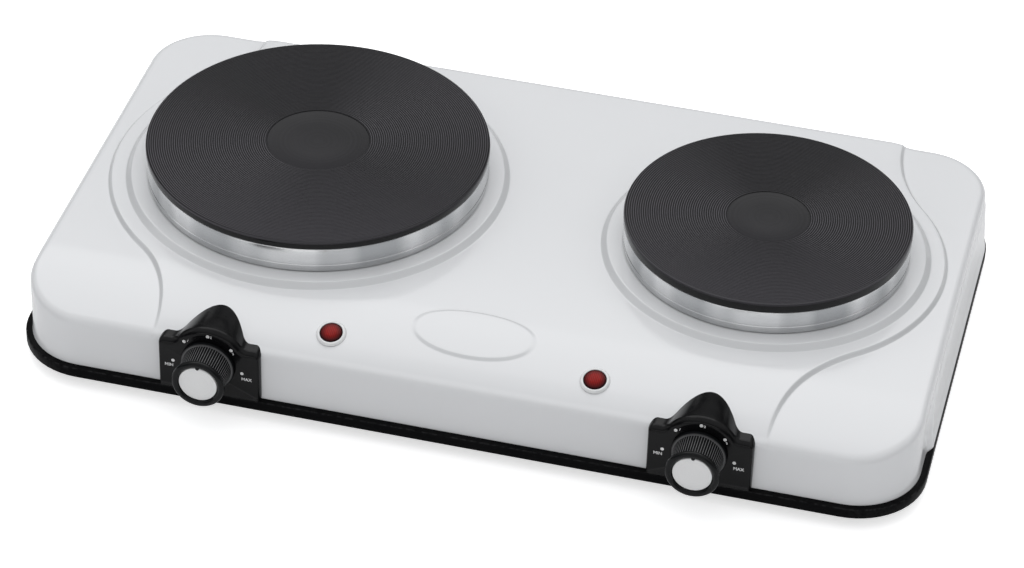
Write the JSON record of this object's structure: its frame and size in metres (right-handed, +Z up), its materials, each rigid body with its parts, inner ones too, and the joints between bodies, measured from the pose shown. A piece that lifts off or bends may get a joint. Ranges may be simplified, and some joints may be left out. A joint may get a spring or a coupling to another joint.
{
  "type": "hot plate burner",
  "caption": "Low electric hot plate with a large and a small cast cooking plate on a white pressed housing, with front knobs, red lamps and a black base tray.",
  "frame": {"origin": "centre of the bounding box in plan, at the underside of the feet", "axes": "+Z up, +X along the length towards the small plate, the controls face -Y"},
  "size_m": [0.49, 0.295, 0.077],
  "materials": {
    "housing_enamel": "glossy white baked enamel",
    "tray_black": "satin black",
    "cast_black": "machined and black coated, satin",
    "trim_steel": "bright rolled steel",
    "bezel_black": "glossy black",
    "knob_black": "satin black",
    "cap_silver": "matt silver",
    "shaft_steel": "turned",
    "phenolic_ivory": "moulded",
    "zinc_steel": "zinc plated",
    "collar_clear": "clear",
    "lens_red": "translucent red",
    "coil_alloy": "oxidised",
    "fill_ceramic": "unglazed",
    "foot_rubber": "matt",
    "gland_black": "moulded",
    "earth_brass": "turned",
    "lead_sleeve": "glass fibre sleeve"
  },
  "bodies": {
    "base": {"top_housing": "housing_enamel", "base_tray": "tray_black", "large_plate": "cast_black", "small_plate": "cast_black", "large_trim_ring": "trim_steel", "small_trim_ring": "trim_steel", "left_bezel": "bezel_black", "right_bezel": "bezel_black", "left_thermostat": "phenolic_ivory", "right_thermostat": "phenolic_ivory", "left_lamp_body": "phenolic_ivory", "right_lamp_body": "phenolic_ivory", "fixing_brackets": "zinc_steel", "base_screws": "zinc_steel", "foot_screws": "zinc_steel", "large_cover_plate": "zinc_steel", "small_cover_plate": "zinc_steel", "large_clamp_bar": "zinc_steel", "small_clamp_bar": "zinc_steel", "clamp_studs": "zinc_steel", "clamp_nuts": "zinc_steel", "left_thermostat_bracket": "zinc_steel", "right_thermostat_bracket": "zinc_steel", "thermostat_screws": "zinc_steel", "left_lamp_collar": "collar_clear", "right_lamp_collar": "collar_clear", "left_lamp_lens": "lens_red", "right_lamp_lens": "lens_red", "large_heater_coil": "coil_alloy", "small_heater_coil": "coil_alloy", "large_heater_fill": "fill_ceramic", "small_heater_fill": "fill_ceramic", "plate_terminals": "fill_ceramic", "mains_terminal": "fill_ceramic", "rubber_feet": "foot_rubber", "cord_gland": "gland_black", "earth_stud": "earth_brass", "internal_leads": "lead_sleeve"},
    "left_control": {"left_knob": "knob_black", "left_knob_cap": "cap_silver", "left_shaft": "shaft_steel"},
    "right_control": {"right_knob": "knob_black", "right_knob_cap": "cap_silver", "right_shaft": "shaft_steel"}
  },
  "joints": [
    {"name": "left_knob_turn", "type": "hinge", "parent": "base", "child": "left_control", "pos_m": [-0.1315, -0.12, 0.033], "axis": [0, 1, 0], "range_deg": [-102, 102]},
    {"name": "right_knob_turn", "type": "hinge", "parent": "base", "child": "right_control", "pos_m": [0.1315, -0.12, 0.033], "axis": [0, 1, 0], "range_deg": [-102, 102]}
  ]
}
